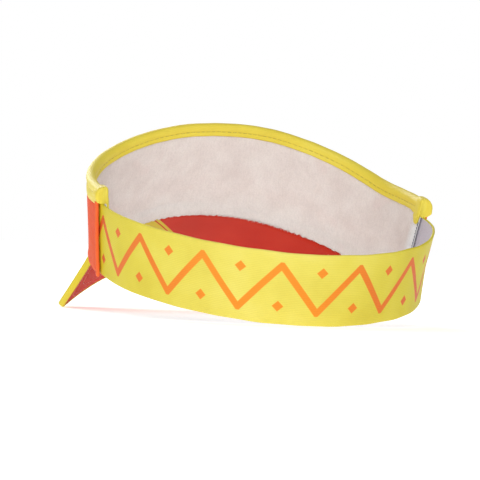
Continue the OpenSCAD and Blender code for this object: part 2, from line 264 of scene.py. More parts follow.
def loft(name, rings, mat, u, v):
    """Closed tube through rings (m, n, 3) in the band frame. u is (m,), v is (n + 1,), both in mm."""
    m, n = rings.shape[:2]
    verts = stand(rings).reshape(-1, 3)
    i, j = np.meshgrid(np.arange(m - 1), np.arange(n), indexing="ij")
    i, j = i.ravel(), j.ravel()
    k = (j + 1) % n
    quads = np.stack([i * n + j, i * n + k, (i + 1) * n + k, (i + 1) * n + j], 1)
    uu, vv = np.asarray(u, float) / 100, np.broadcast_to(np.asarray(v, float) / 100, (m, n + 1))
    corners = (i, j), (i, j + 1), (i + 1, j + 1), (i + 1, j)
    uvs = np.stack([np.stack([uu[r], vv[r, c]], 1) for r, c in corners], 1)
    faces, uvl = quads.tolist(), uvs.reshape(-1, 2).tolist()
    # The two ends are closed by strips of quads from one side of the section to the other
    for base, first_end, ui, vi in ((0, True, uu[0], vv[0]), ((m - 1) * n, False, uu[-1], vv[-1])):
        for q in range(n // 2 - 1):
            g = [q, q + 1, n - 2 - q, n - 1 - q]
            if first_end:
                g = g[::-1]
            faces.append([base + w for w in g])
            uvl += [[ui, vi[w]] for w in g]
    ob = mesh(name, verts, faces, mat, uvl, smooth=len(quads))
    me = ob.data
    ends = set(range(n)) | set(range((m - 1) * n, m * n))
    for e in me.edges:
        e.use_edge_sharp = e.vertices[0] in ends and e.vertices[1] in ends
    # The outside is the side with positive volume
    co = np.empty(len(me.vertices) * 3)
    me.vertices.foreach_get("co", co)
    co = co.reshape(-1, 3)
    p, q, r, t = (co[quads[:, c]] for c in range(4))
    if (np.einsum("ij,ij->i", p, np.cross(q, r)) + np.einsum("ij,ij->i", p, np.cross(r, t))).sum() < 0:
        me.flip_normals()
    return ob


BACK_V, TURN_V, FACE_V = 3, 0.02, 1.5  # how a section's v tells its back, its turned edges and its face


def profile(rows, back_rows, caps=3):
    """A sheet's section, as share of height, end rounding (-1 to 1) and share of thickness, then its v.

    v runs from 0 to 1 up the face and from BACK_V to BACK_V + 1 up the back.
    """
    bends = [math.pi * k / (caps + 1) for k in range(1, caps + 1)]
    pts = [(k / rows, 0, 0, k / rows) for k in range(rows + 1)]
    pts += [(1, math.sin(b), 0.5 - 0.5 * math.cos(b), 1 + TURN_V * (k + 1)) for k, b in enumerate(bends)]
    pts += [(1 - k / back_rows, 0, 1, BACK_V + 1 - k / back_rows) for k in range(back_rows + 1)]
    pts += [(0, -math.sin(b), 0.5 + 0.5 * math.cos(b), BACK_V - TURN_V * (k + 1))
            for k, b in enumerate(bends)]
    s, e, c, v = np.array(pts).T
    return s, e, c, np.append(v, v[-1])


BACK_MM = 200  # where the back's v starts, in mm


def sheet_v(pv, foot, height):
    """v in mm: height on the face, and BACK_MM more on the back."""
    return np.where(pv <= FACE_V, foot + height * pv, BACK_MM + height * (pv - BACK_V))


def capsules(name, mids, dirs, ups, length, radius, mat):
    """Short threads: each a closed spindle, flatter along ups, that dives into the cloth at both ends."""
    sides, steps, flat = 6, 5, 0.8
    dirs, ups = unit(dirs), unit(ups)
    across = unit(np.cross(dirs, ups))
    ups = np.cross(across, dirs)
    ang = 2 * math.pi * np.arange(sides)[:, None] / sides
    half = np.broadcast_to(np.asarray(length, float), (len(mids),))[:, None] / 2
    rings = []
    for t in np.linspace(-1, 1, steps):
        r = radius * (0.55 if abs(t) == 1 else 1)
        c = mids + dirs * (half * t) - ups * (radius * 0.9 * abs(t) ** 3)
        ring = across[:, None] * (r * np.cos(ang)) + ups[:, None] * (r * flat * np.sin(ang))
        rings.append(c[:, None] + ring)
    faces = []
    for b in range(0, len(mids) * steps * sides, steps * sides):
        for low in range(b, b + (steps - 1) * sides, sides):
            for j in range(sides):
                q = (j + 1) % sides
                faces.append([low + j, low + q, low + sides + q, low + sides + j])
        faces.append([b + j for j in range(sides)][::-1])
        faces.append([b + (steps - 1) * sides + j for j in range(sides)])
    ob = mesh(name, stand(np.stack(rings, 1).reshape(-1, 3)), faces, mat)
    ob.data.flip_normals()
    return ob


def tube(name, path, radius, mat, sides, flat, up):
    """Closed tube along a path in the band frame, flat times as thick along up as across."""
    path = np.asarray(path, float)
    t = unit(np.gradient(path, axis=0))
    w = unit(np.cross(t, np.broadcast_to(up, path.shape)))
    n = np.cross(w, t)
    ang = 2 * math.pi * np.arange(sides) / sides
    r = np.broadcast_to(np.asarray(radius, float), (len(path),))[:, None, None]
    across, along = np.cos(ang)[None, :, None] * w[:, None], np.sin(ang)[None, :, None] * n[:, None]
    girth = 2 * math.pi * float(np.mean(radius))
    return loft(name, path[:, None] + r * (across + flat * along), mat, run(path),
                np.linspace(0, girth, sides + 1))


# -------------------- materials
CLOTH_SHARE = 0.88  # what the cloth reflects of the colour that it has to look like in this light


def srgb(h):
    c = [int(h[i:i + 2], 16) / 255 for i in (1, 3, 5)]
    c = [v / 12.92 if v <= 0.04045 else ((v + 0.055) / 1.055) ** 2.4 for v in c]
    return tuple(CLOTH_SHARE * v for v in c) + (1.0,)


class Mat:
    """Small builder for a node material whose patterns follow the cloth's own UV map, in mm."""

    def __init__(self, name, rough=0.8, sheen=0.0, sheen_rough=0.5, spec=0.3):
        self.m = bpy.data.materials.new(name)
        self.m.use_nodes = True
        self.t = self.m.node_tree
        self.b = self.t.nodes["Principled BSDF"]
        self.b.inputs["Roughness"].default_value = rough
        self.b.inputs["Sheen Weight"].default_value = sheen
        self.b.inputs["Sheen Roughness"].default_value = sheen_rough
        self.b.inputs["Specular IOR Level"].default_value = spec

    def node(self, kind, **kw):
        n = self.t.nodes.new("ShaderNode" + kind)
        for k, v in kw.items():
            setattr(n, k, v)
        return n

    def link(self, a, b):
        self.t.links.new(a, b)

    def put(self, sock, v):
        if hasattr(v, "is_output"):
            self.link(v, sock)
        else:
            sock.default_value = v

    def uv(self):
        """(u, v) of the cloth in mm, as two sockets."""
        n = self.node("UVMap", uv_map="cloth")
        s = self.node("SeparateXYZ")
        self.link(n.outputs["UV"], s.inputs[0])
        return self.mul(s.outputs["X"], 100.0), self.mul(s.outputs["Y"], 100.0)

    def obj(self):
        return self.node("TexCoord").outputs["Object"]

    def math(self, op, a, b=0.0, c=None):
        n = self.node("Math", operation=op)
        self.put(n.inputs[0], a)
        self.put(n.inputs[1], b)
        if c is not None:
            self.put(n.inputs[2], c)
        return n.outputs[0]

    def mul(self, a, b):
        return self.math("MULTIPLY", a, b)

    def add(self, a, b):
        return self.math("ADD", a, b)

    def sub(self, a, b):
        return self.math("SUBTRACT", a, b)

    def mad(self, a, b, c):
        """a times b, plus c."""
        return self.math("MULTIPLY_ADD", a, b, c)

    def mag(self, a):
        return self.math("ABSOLUTE", a)

    def vec(self, x, y, z=0.0):
        n = self.node("CombineXYZ")
        for s, v in zip(n.inputs, (x, y, z)):
            self.put(s, v)
        return n.outputs[0]

    def noise(self, vector, scale, detail=2.0, rough=0.5):
        n = self.node("TexNoise")
        self.link(vector, n.inputs["Vector"])
        n.inputs["Scale"].default_value = scale
        n.inputs["Detail"].default_value = detail
        n.inputs["Roughness"].default_value = rough
        return n.outputs["Fac"]

    def voronoi(self, vector, scale):
        n = self.node("TexVoronoi")
        self.link(vector, n.inputs["Vector"])
        n.inputs["Scale"].default_value = scale
        return n.outputs["Distance"]

    def ramp(self, fac, stops):
        n = self.node("ValToRGB")
        self.put(n.inputs[0], fac)
        el = n.color_ramp.elements
        while len(el) < len(stops):
            el.new(0.5)
        for e, (p, c) in zip(el, stops):
            e.position = p
            e.color = c if len(c) == 4 else tuple(c) + (1,)
        return n.outputs[0]

    def mix(self, fac, a, b, kind="MIX"):
        n = self.node("Mix", data_type="RGBA", blend_type=kind)
        self.put(n.inputs[0], fac)
        self.put(n.inputs[6], a)
        self.put(n.inputs[7], b)
        return n.outputs[2]

    def span(self, v, lo, hi, a=0.0, b=1.0):
        n = self.node("MapRange", clamp=True)
        self.put(n.inputs[0], v)
        for k, x in enumerate((lo, hi, a, b)):
            self.put(n.inputs[k + 1], x)
        return n.outputs[0]

    def colour(self, sock, shade=None):
        """Base colour, made darker or lighter by shade."""
        if shade is not None:
            grey = self.node("CombineColor")
            for s in grey.inputs[:3]:
                self.link(shade, s)
            sock = self.mix(1.0, sock, grey.outputs[0], "MULTIPLY")
        self.put(self.b.inputs["Base Color"], sock)

    def rough(self, sock):
        self.link(sock, self.b.inputs["Roughness"])

    def bump(self, height, strength, mm):
        """Bump from a height of 0 to 1 that stands for so many mm."""
        n = self.node("Bump")
        n.inputs["Strength"].default_value = strength
        n.inputs["Distance"].default_value = mm / 1000
        self.link(height, n.inputs["Height"])
        self.link(n.outputs[0], self.b.inputs["Normal"])

    def weave(self, u, v, pitch):
        """Plain weave height, 0 to 1."""
        k = 2 * math.pi / pitch
        a = self.math("SINE", self.mul(u, k))
        b = self.math("SINE", self.mul(v, k))
        return self.mad(self.mul(a, b), 0.5, 0.5)

    def shades(self, base, dark, light, vector, scale, amount=1.0):
        """Base colour with soft uneven tone."""
        f = self.noise(vector, scale, 3.0, 0.55)
        lo = tuple(b + (d - b) * amount for b, d in zip(base, dark))
        hi = tuple(b + (d - b) * amount for b, d in zip(base, light))
        return self.ramp(f, [(0.3, lo), (0.5, base), (0.72, hi)])


def plain_cloth(name, base, dark, light, pitch=0.55, depth=0.09, rough=0.78, spec=0.18):
    """Plain woven cloth: thread pitch and relief in mm, and a soft uneven tone."""
    m = Mat(name, rough=rough, spec=spec)
    u, v = m.uv()
    w = m.weave(u, v, pitch)
    tone = m.shades(srgb(base), srgb(dark), srgb(light), m.vec(u, v), 0.035, 0.45)
    fine = m.noise(m.vec(u, v), 1.6, 2.0)
    shade = m.mad(w, 0.07, m.mad(fine, 0.08, 0.885))
    m.colour(tone, shade)
    m.rough(m.span(fine, 0.2, 0.8, rough - 0.08, rough + 0.08))
    m.bump(m.add(w, m.mul(fine, 0.5)), 0.6, depth)
    return m


def printed_elastic():
    """Yellow knitted elastic with an orange zigzag printed on its outer face, u along it and v across."""
    m = Mat("elastic_printed", rough=0.46, spec=0.2)
    u, v = m.uv()
    # Knitted elastic: fine lengthwise ribs crossed by short courses
    ribs = m.math("SINE", m.mul(v, 2 * math.pi / 0.9))
    courses = m.math("SINE", m.mul(u, 2 * math.pi / 0.55))
    knit = m.mad(m.mad(courses, 0.45, ribs), 0.3, 0.5)
    fine = m.noise(m.vec(u, v), 1.3, 2.0)
    tone = m.shades(srgb("#F0DF4C"), srgb("#E7D442"), srgb("#F6E75C"), m.vec(u, v), 0.035, 0.8)
    # Painted highlight and painted shade: the yellow is made paler and whiter at the rear, a little to the
    # wearer's left, and darker and more olive towards the ends
    highlight_at = WHOLE / 2 - 30
    rear = m.span(m.mag(m.sub(u, highlight_at)), 20.0, 105.0, 1.0, 0.0)
    tone = m.mix(1.0, tone, m.mix(rear, (0.9, 0.9, 0.32, 1), (1.0, 1.03, 1.8, 1)), "MULTIPLY")
    # Continuous zigzag between two heights with a small diamond in every bay, in mm
    period, start, lo, hi, half, soft = 38.0, 9.0, 4.3, 30.7, 1.62, 0.15
    ph = m.math("FRACT", m.math("DIVIDE", m.add(u, 50 * period + start), period))
    tri = m.mag(m.mad(ph, 2.0, -1.0))
    line = m.mad(tri, hi - lo - 2 * half, lo + half)
    slope = 2 * (hi - lo - 2 * half) / period
    off = m.math("DIVIDE", m.mag(m.sub(v, line)), math.sqrt(1 + slope * slope))
    ink = m.span(off, half + soft, half - soft)
    inside = m.mul(m.span(v, lo - 0.12, lo + 0.12), m.span(v, hi + 0.12, hi - 0.12))
    ink = m.mul(ink, inside)
    for shift, level in ((0.0, 8.6), (0.5, 26.4)):
        q = m.math("FRACT", m.add(ph, shift))
        near = m.mul(q, period)
        near = m.math("MINIMUM", near, m.sub(period, near))
        d = m.add(near, m.mag(m.sub(v, level)))
        ink = m.math("MAXIMUM", ink, m.span(d, 2.9, 2.6))
    ink = m.mul(ink, m.math("LESS_THAN", v, BAND_H + 1))
    ink = m.mul(ink, m.span(fine, 0.15, 0.35, 0.9, 1.0))
    # Painted highlight on the print too: the orange is lighter at the rear and redder towards the ends, with
    # a little random unevenness
    ink_highlight_and_tone = m.mad(rear, 0.75, m.mul(m.noise(m.vec(u, v), 0.03), 0.25))
    orange = m.ramp(ink_highlight_and_tone, [(0.15, srgb("#EC6622")), (0.85, srgb("#FC982C"))])
    col = m.mix(ink, tone, orange)
    # The unprinted inner face is pale: the knit's ground yarn
    inner = m.ramp(fine, [(0.3, srgb("#CFC8D4")), (0.7, srgb("#DDD7DF"))])
    col = m.mix(m.span(v, BAND_H * BACK_V - 0.4, BAND_H * BACK_V + 0.8), col, inner)
    shade = m.mad(knit, 0.08, m.mad(fine, 0.07, 0.89))
    m.colour(col, shade)
    m.rough(m.mad(ink, -0.05, m.span(fine, 0.2, 0.8, 0.46, 0.56)))
    m.bump(m.add(knit, m.mul(fine, 0.4)), 0.55, 0.12)
    return m.m


def terry():
    m = Mat("terry_cloth", rough=0.95, sheen=0.08, sheen_rough=0.7, spec=0.1)
    u, v = m.uv()
    p = m.vec(u, v)
    streak = m.noise(m.vec(u, m.mul(v, 0.22)), 1.1, 2.0)
    loops = m.voronoi(p, 1.35)
    fuzz = m.noise(p, 2.6, 4.0, 0.7)
    h = m.add(m.mul(streak, 0.45), m.mad(loops, -0.4, m.mul(fuzz, 0.7)))
    base = m.shades(srgb("#F8ECE6"), srgb("#F0E2DC"), srgb("#FFF6F0"), p, 0.07, 0.8)
    blush = m.span(m.noise(p, 0.045, 2.0), 0.6, 0.72, 0.0, 0.22)
    base = m.mix(blush, base, srgb("#F4D2CC"))
    shade = m.span(h, 0.15, 0.75, 0.88, 1.03)
    hem = m.span(v, BACK_MM + 15.0, BACK_MM, 0.0, 0.45)
    m.colour(m.mix(hem, base, srgb("#E9ECE8")), shade)
    m.bump(h, 0.75, 0.4)
    return m.m


def thread(name, hexc):
    m = Mat(name, rough=0.55, sheen=0.2, spec=0.4)
    o = m.obj()
    n = m.noise(o, 900.0, 2.0)
    c = srgb(hexc)
    dark, light = tuple(x * 0.78 for x in c[:3]), tuple(min(1, x * 1.12) for x in c[:3])
    m.colour(m.ramp(n, [(0.35, dark), (0.65, light)]))
    wv = m.node("TexWave")
    m.link(o, wv.inputs["Vector"])
    wv.inputs["Scale"].default_value = 900
    wv.inputs["Distortion"].default_value = 1.5
    m.bump(wv.outputs["Fac"], 0.5, 0.08)
    return m.m


def fringe_cloth():
    m = Mat("fringe_fibre", rough=0.95, sheen=0.3, sheen_rough=0.7, spec=0.1)
    n = m.noise(m.obj(), 300.0, 2.0)
    m.colour(m.ramp(n, [(0.3, srgb("#D8CFCB")), (0.7, srgb("#EFEAE6"))]))
    m.bump(m.noise(m.obj(), 1400.0, 2.0), 0.6, 0.2)
    return m.m


def under_cloth():
    """Deep red underside with one plain slanted stripe, yellow with a thin red line in it."""
    m = plain_cloth("brim_under_weave", "#CE321E", "#C02A18", "#DA402A", pitch=0.5, depth=0.06, rough=0.7)
    xyz = m.node("SeparateXYZ")
    m.link(m.obj(), xyz.inputs[0])
    # One edge of the stripe is the line x = start + slant * y in metres, and the rest is mm across it
    start, slant, width, line_at = 0.0619, 0.611, 16.0, 1.8
    across = m.mad(xyz.outputs["Y"], -slant, xyz.outputs["X"])
    mm = m.mul(m.sub(across, start), 1000 / math.sqrt(1 + slant * slant))
    stripe = m.mul(m.span(mm, -0.1, 0.1), m.span(mm, width + 0.1, width - 0.1))
    line = m.span(m.mag(m.sub(mm, line_at)), 0.4, 0.25)
    stripe = m.mul(stripe, m.sub(1.0, line))
    cloth = m.b.inputs["Base Color"].links[0].from_socket
    m.colour(m.mix(stripe, cloth, srgb("#D9C83E")))
    return m.m


def foam_sheeting():
    m = Mat("interlining_foam", rough=0.95, spec=0.1)
    u, v = m.uv()
    cells = m.noise(m.vec(u, v), 1.2, 3.0)
    m.colour(m.ramp(cells, [(0.35, srgb("#E6E3DB")), (0.65, srgb("#F6F4EE"))]))
    m.bump(cells, 0.6, 0.3)
    return m.m


def strip_cloth():
    """Brushed strip: the terry's own tone at its front edge, whiter towards the seam."""
    m = Mat("strip_brushed", rough=0.95, spec=0.1)
    u, v = m.uv()
    p = m.vec(m.mul(u, 1.3), v)
    fuzz = m.noise(p, 1.4, 4.0, 0.7)
    edge = m.mad(m.sub(fuzz, 0.5), 5.0, u)
    tone = m.ramp(m.span(edge, 1.5, 6.5), [(0.0, srgb("#F3E8E2")), (1.0, srgb("#FFFFFF"))])
    m.colour(tone, m.span(fuzz, 0.25, 0.7, 0.9, 1.02))
    m.bump(fuzz, 0.8, 0.5)
    return m.m


M_BAND = printed_elastic()
M_TERRY = terry()
M_SHELL = plain_cloth("shell_weave", "#F75C2C", "#EC5026", "#FA6A38", rough=0.7).m
M_TAPE = plain_cloth("tape_weave", "#F8E24C", "#EDD242", "#FCEE66", pitch=0.45, depth=0.035, rough=0.5,
                     spec=0.35).m
M_TOP = plain_cloth("brim_top_weave", "#E9D73C", "#DBC634", "#F1E252", pitch=0.5, depth=0.06, rough=0.7).m
M_PIPE = plain_cloth("piping_weave", "#FF6E36", "#F6602C", "#FF8048", pitch=0.4, depth=0.06, rough=0.62).m
M_YTHREAD = thread("thread_yellow", "#DCC845")
M_OTHREAD = thread("thread_orange", "#E8603A")
M_RTHREAD = thread("thread_pale_red", "#E0786A")
M_GTHREAD = thread("thread_grey", "#5F6A7B")
M_FOAM = foam_sheeting()
M_STRIP = strip_cloth()
M_FRINGE = fringe_cloth()
M_UNDER = under_cloth()


def keep(ob, body="front"):
    if body:
        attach(ob, body)
    return ob


# -------------------- front panel
CLOTH_U = 400  # keeps u above zero on pieces that run from ear to ear, in mm


def panel_sheet(name, stop, lo, hi, d0, d1, mat, step, rows, back_rows, push, edge=None):
    """Sheet on the panel from seam to seam, between two heights and two depths.

    push moves it in depth and edge in height, from the length round the wall, the height and what follows.
    """
    half = float(arc(stop))
    s = np.linspace(-half, half, int(2 * half / step) + 1)
    a = at_arc(s)
    z0, z1 = lo(a), hi(a)
    ps, pe, pc, pv = profile(rows, back_rows)
    r = (d1 - d0) / 2
    z = z0[:, None] + r + (z1 - z0 - 2 * r)[:, None] * ps + r * pe
    if edge is not None:
        z = z + edge(s[:, None], z, ps)
    d = d0 + (d1 - d0) * pc + 0 * z
    d = d + push(s[:, None], z, pc, z - z0[:, None], half)
    rings = wall(a[:, None], z, d)
    return loft(name, rings, mat, s + CLOTH_U, sheet_v(pv, z0[:, None], (z1 - z0)[:, None]))


def shell_push(s, z, c, h, half):
    near = ease((np.abs(s) - (half - 13)) / 10)
    ripple = 0.42 * near * np.sin(2 * math.pi * z / 24 + 0.7 * np.sign(s))
    soft = 0.16 * (1 + waves(s, z, 40, 11))
    root_roll = 0.35 * np.exp(-((h - 2.6) / 1.2) ** 2)
    free = ease((top_z(at_arc(s)) - z - 5) / 4)
    return -(soft + np.maximum(ripple, -0.2) + root_roll) * (1 - 0.5 * c) * free


SHELL_STOP = SEAM - 2.3 * DEG
shell = keep(panel_sheet("panel_shell", SHELL_STOP, bottom_z, top_z, 0.0, SHELL_T, M_SHELL, 1.4, 40, 6,
                         shell_push))
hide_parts("front_shell")


FOAM_INSET = 3.0
LINING_STOP = SEAM - (TAB + 1.2) * DEG
FOAM_STOP = LINING_STOP - FOAM_INSET * DEG


def foam_push(s, z, *rest):
    return 0.03 * waves(s, z, 12, 17)


def foam_low(a):
    return bottom_z(a) + FOAM_INSET


def foam_high(a):
    return top_z(a) - FOAM_INSET


foam_sheet = keep(panel_sheet("panel_foam", FOAM_STOP, foam_low, foam_high, SHELL_T + GAP,
                              SHELL_T + GAP + FOAM_T, M_FOAM, 3.0, 16, 16, foam_push))
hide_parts("panel_interlining")


def terry_low(a):
    drop = 2.4 * ease(bell(a) * 3)
    right = np.exp(-((a + 44) / 20) ** 2)
    return bottom_z(a) - drop + 1.6 * right


def terry_push(s, z, c, h, *rest):
    deeper = 0.25 + 0.75 * np.exp(-((s - 28) / 26) ** 2)
    crease = deeper * np.exp(-((h - 7.0 - 0.9 * np.sin(s / 17)) / 0.9) ** 2)
    roll = np.exp(-((h - 4.2) / 2.4) ** 2)
    loops = 0.10 * waves(s, z, 2.2, 5, 9)
    soft = 0.22 * waves(s, z, 26, 3)
    hem = np.exp(-((h - 0.8) / 1.2) ** 2)
    return c * (0.35 * roll - 0.75 * crease + loops + soft - 0.25 * hem)


def terry_edge(s, z, ps):
    return (1 - ease(ps * 14)) * 0.22 * waves(s, 0 * z, 2.6, 8, 9)


lining = keep(panel_sheet("terry_lining_cloth", LINING_STOP, terry_low, top_z, TERRY_IN, TERRY_BACK,
                          M_TERRY, 0.55, 6, 46, terry_push, terry_edge))
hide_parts("terry_lining")


# The lining's turned edge: how far past the seam it reaches, its heights, and its width laid flat
STRIP_END, STRIP_FOOT, STRIP_TOP, STRIP_WIDE = 2.6, 0.5, TAPE_FOOT + 1.2, TAB + 10.3


def terry_strip(side, word):
    """Turned edge of the lining over the elastic's end: thin where it leaves the terry, wider below."""
    ps, pe, pc, pv = profile(46, 46, 3)
    t = np.linspace(0, 1, 30)[:, None]
    z0, z1, r = STRIP_FOOT, STRIP_TOP, 0.4
    z = z0 + r + (z1 - z0 - 2 * r) * ps + r * pe + 0 * t
    low = (z1 - z) / (z1 - z0)
    s0 = float(arc(LINING_STOP)) - 1.5 - 5 * low
    s1 = SEAM_S + STRIP_END
    s = s0 + (s1 - s0) * t
    thick = 0.12 + 0.68 * ease(t * 2.2) * (1 - 0.55 * ease((t - 0.8) / 0.2))
    d = STRIP_BACK - 0.35 * (1 - ease(t * 3)) - (1 - pc) * thick
    d = d + pc * (0.10 * waves(s, z, 1.8, 21 + side, 9) * ease(3 - 3 * t) + 0.3 * np.sin(math.pi * t))
    rings = wall(at_arc(s) * side, z, d)
    strip = keep(loft(f"terry_edge_{word}", rings, M_STRIP, t[:, 0] * 10, sheet_v(pv, 0, 33)))
    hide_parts("terry_lining")


for side, word in SIDES:
    terry_strip(side, word)


# -------------------- folded tape on the top edge
def tape_leg(a, outer):
    """Height of the tape's leg: the outer one is folded wider, widest a little ahead of the seam."""
    mm = (SEAM - np.abs(a)) / DEG
    if outer:
        return 7.4 + 1.3 * np.exp(-((mm - 24) / 13) ** 2)
    return TAPE_H + 0.8 * (1 - ease((mm - 5) / 5))


LEG_DOWN, GROOVE_DOWN = 5.05, 2.72  # lower edges of the leg and of its groove, below the top edge


def tape_section(groove):
    """One side of the tape's section from the lower edge up to the crown: (height, half depth)."""
    pts = []
    for k in range(8):  # lower bead
        t = k / 7
        pts.append((2.15 * t - LEG_DOWN, 1.86 + 0.5 * math.sin(math.pi * (0.08 + 0.84 * t)) ** 0.7))
    pts += [(-GROOVE_DOWN, 2.06 - groove / 3), (-2.6, 2.02 - groove), (-2.48, 2.06 - groove / 3)]
    for k in range(9):  # roll, up to its widest
        b = -math.pi / 2 * (1 - (k + 1) / 10)
        pts.append((-0.75 + 1.72 * math.sin(b), 2.06 + 0.4 * math.cos(b)))
    for k in range(10):  # crown
        b = math.pi / 2 * k / 10
        pts.append((-0.75 + 2.4 * math.sin(b), 2.46 * math.cos(b) ** 0.85))
    return pts


def binding():
    half = np.arange(1.2, SEAM_S - 0.5, 1.15)
    s = np.concatenate([[-SEAM_S], -half[::-1], [0], half, [SEAM_S]])
    a = at_arc(s)
    outer = [(-x, y) for y, x in tape_section(0.06)] + [(0.0, 1.65)]
    inner = [(x, y) for y, x in tape_section(0.14)[::-1]]
    hollow = [(1.73, -4.75), (1.73, -2.0), (1.4, 0.4), (0.0, 0.9)]
    hollow += [(-x, y) for x, y in hollow[-2::-1]]
    pts = np.array(outer + inner + hollow)
    x, y = pts[:, 0], pts[:, 1]
    leg = np.where(x < 0, tape_leg(a, True)[:, None], tape_leg(a, False)[:, None])
    stretch = (leg - GROOVE_DOWN) / (LEG_DOWN - GROOVE_DOWN)
    yy = np.where(y < -GROOVE_DOWN, (y + GROOVE_DOWN) * stretch - GROOVE_DOWN, y)
    skin = np.arange(len(pts)) < len(outer) + len(inner)
    puff = 1 + 0.02 * waves(s, 0 * s, 15, 41)[:, None] * (y > -2.4)
    xx = np.where(skin, x * puff, x)
    yy = yy + np.where(skin, 0.07, 0) * waves(s, 0 * s, 16, 43)[:, None]
    top = top_z(a)[:, None] + GAP
    rings = wall(a[:, None], top + yy, STACK / 2 + xx)
    return loft("binding_tape", rings, M_TAPE, s + CLOTH_U, around(pts))


tape = keep(binding())
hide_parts("top_binding")


def tape_end(side, word, shoulder, tall, out, longer):
    """Folded end of the tape: a puffy block over the wall's corner, its inner leg hanging lower.

    shoulder, tall, out and longer make it rounder on top, taller, further out and longer, in mm.
    """
    # At each height: outer depth, inner depth, length, and how far short of the end it stops
    key = np.array([[31.2, 4.15, 4.5, 1.4, 1.3], [31.7, 3.85, 4.85, 2.6, 0.7], [32.8, 3.55, 5.1, 4.2, 0.25],
                    [34.2, 3.42, 5.2, 5.4, 0.0], [34.7, 3.3, 5.2, 6.2, 0.0], [34.8, 0.8, 5.2, 6.4, 0.0],
                    [35.2, -0.8, 5.2, 6.4, 0.0], [36.6, -1.5, 5.2, 6.4, 0.0], [39.0, -1.55, 5.15, 6.4, 0.0],
                    [40.6, -1.15, 5.1, 6.4, 0.05], [41.9, -0.2, 5.0, 6.4, 0.15], [42.7, 1.0, 4.8, 6.2, 0.35],
                    [43.1, 2.0, 4.4, 5.8, 0.8]])
    n = 44
    b = 2 * math.pi * np.arange(n) / n
    cs, cd = spow(np.cos(b), 0.42), spow(np.sin(b), 0.5)
    key[:, 1] += shoulder * np.clip((key[:, 0] - 37.5) / 3, 0, 1)
    key[:, 1] -= out * np.clip((key[:, 0] - 35.1) / 1.5, 0, 1)
    key[:, 3] += longer
    key[:, 0] += tall * np.clip((key[:, 0] - 37) / 4, 0, 1)
    fine = np.linspace(0, len(key) - 1, 52)
    z, d0, d1, ln, short = (np.interp(fine, np.arange(len(key)), key[:, k])[:, None] for k in range(5))
    d = (d0 + d1) / 2 + (d1 - d0) / 2 * cd
    rear = SEAM_S + 1.5 + longer - short
    s = rear - ln / 2 + ln / 2 * cs
    # crease between the folded inner leg and the end face, and a soft dent down the outer leg
    back = np.clip(cs, 0, 1) ** 4
    wide = ease((d1 - d0 - 2.2) / 1.5)
    s = s - wide * back * (0.9 * np.exp(-((d - 3.35) / 0.34) ** 2) + 0.25 * np.exp(-((d - 0.6) / 0.7) ** 2))
    s = s + 0.1 * waves(d, z, 5, 45 + side) * back
    d = d + 0.07 * waves(s, z, 4, 47 + side)
    rings = wall(at_arc(s) * side, z + 0 * s, d)
    v = np.linspace(0, 24, n + 1)
    ob = keep(loft(f"binding_end_{word}", rings, M_TAPE, z[:, 0], v))
    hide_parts("top_binding")


tape_end(1, "left", 0.0, 0.0, 0.0, 0.0)
tape_end(-1, "right", 1.0, 1.0, 1.3, 1.2)


def along_wall(a, zf, depth, h=0.4):
    return wall(a, zf(a), depth), wall(a + h, zf(a + h), depth) - wall(a - h, zf(a - h), depth)


def wall_out(a, sign):
    nx, ny = normal(a)
    return np.stack([nx * sign, ny * sign, 0 * nx], -1)


def groove(a):
    return top_z(a) + GAP - 2.62


PITCH, STITCH = 3.05, 2.5  # from one machine stitch to the next, and the part that shows
aa = at_arc(np.arange(-SEAM_S + 9, SEAM_S - 9, PITCH))
lines = along_wall(aa, groove, STACK / 2 + 2.02), along_wall(aa, groove, STACK / 2 - 2.02)
mids, dirs = (np.concatenate(x) for x in zip(*lines))
ups = np.concatenate([wall_out(aa, -1), wall_out(aa, 1)])
st = keep(capsules("binding_stitches", mids, dirs, ups, STITCH, 0.24, M_YTHREAD))
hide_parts("top_binding_stitching")


# -------------------- elastic band
def band_depth(a):
    return BAND_IN * (1 - ease(past_seam(a) / 14))


def band_rings(s, a, rows=28):
    ps, pe, pc, pv = profile(rows, rows, 4)
    r = BAND_T / 2
    z = r + (BAND_H - 2 * r) * ps + r * pe + 0 * s[:, None]
    d = band_depth(a)[:, None] + BAND_T * pc
    # Slightly thicker selvedges, a faint barrel across the width and a soft wave along the edges
    edge = np.exp(-(np.minimum(z, BAND_H - z) / 1.1) ** 2)
    d = d + np.where(pc > 0.5, 1, -1) * 0.05 * edge
    d = d + 0.22 * waves(s[:, None], z, 60, 51) * ease(past_seam(a) / 12)[:, None]
    z = z + 0.10 * waves(s[:, None], 0 * z, 24, 53) * (2 * z / BAND_H - 1)
    return wall(a[:, None], z, d), BAND_H * pv


JOIN = 9.0  # where the end pieces hand over to the long one, behind the seam


def plain_arc(s):
    return np.interp(s, ARC_S, ARC_A)


def band_piece(name, s):
    rings, v = band_rings(s, plain_arc(s))
    return keep(loft(name, rings, M_BAND, s, v), None)


main_s = np.linspace(SEAM_S + JOIN, WHOLE - SEAM_S - JOIN, 330)
band = band_piece("elastic_band", main_s)
ends = [band_piece("elastic_end_left", np.linspace(SEAM_S - TAB, SEAM_S + JOIN, 24)),
        band_piece("elastic_end_right", np.linspace(WHOLE - SEAM_S - JOIN, WHOLE - SEAM_S + TAB, 24))]

seam_pt = stand(wall(SEAM, BAND_H / 2, BAND_IN))
join_pt = stand(wall(float(plain_arc(SEAM_S + JOIN)), BAND_H / 2, 0.5))
rear_pt = stand(wall(180.0, BAND_H / 2, 0.0))


for e in ends:
    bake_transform(e)
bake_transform(band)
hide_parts("elastic_left")
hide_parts("elastic_right")
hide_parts("elastic_rear")


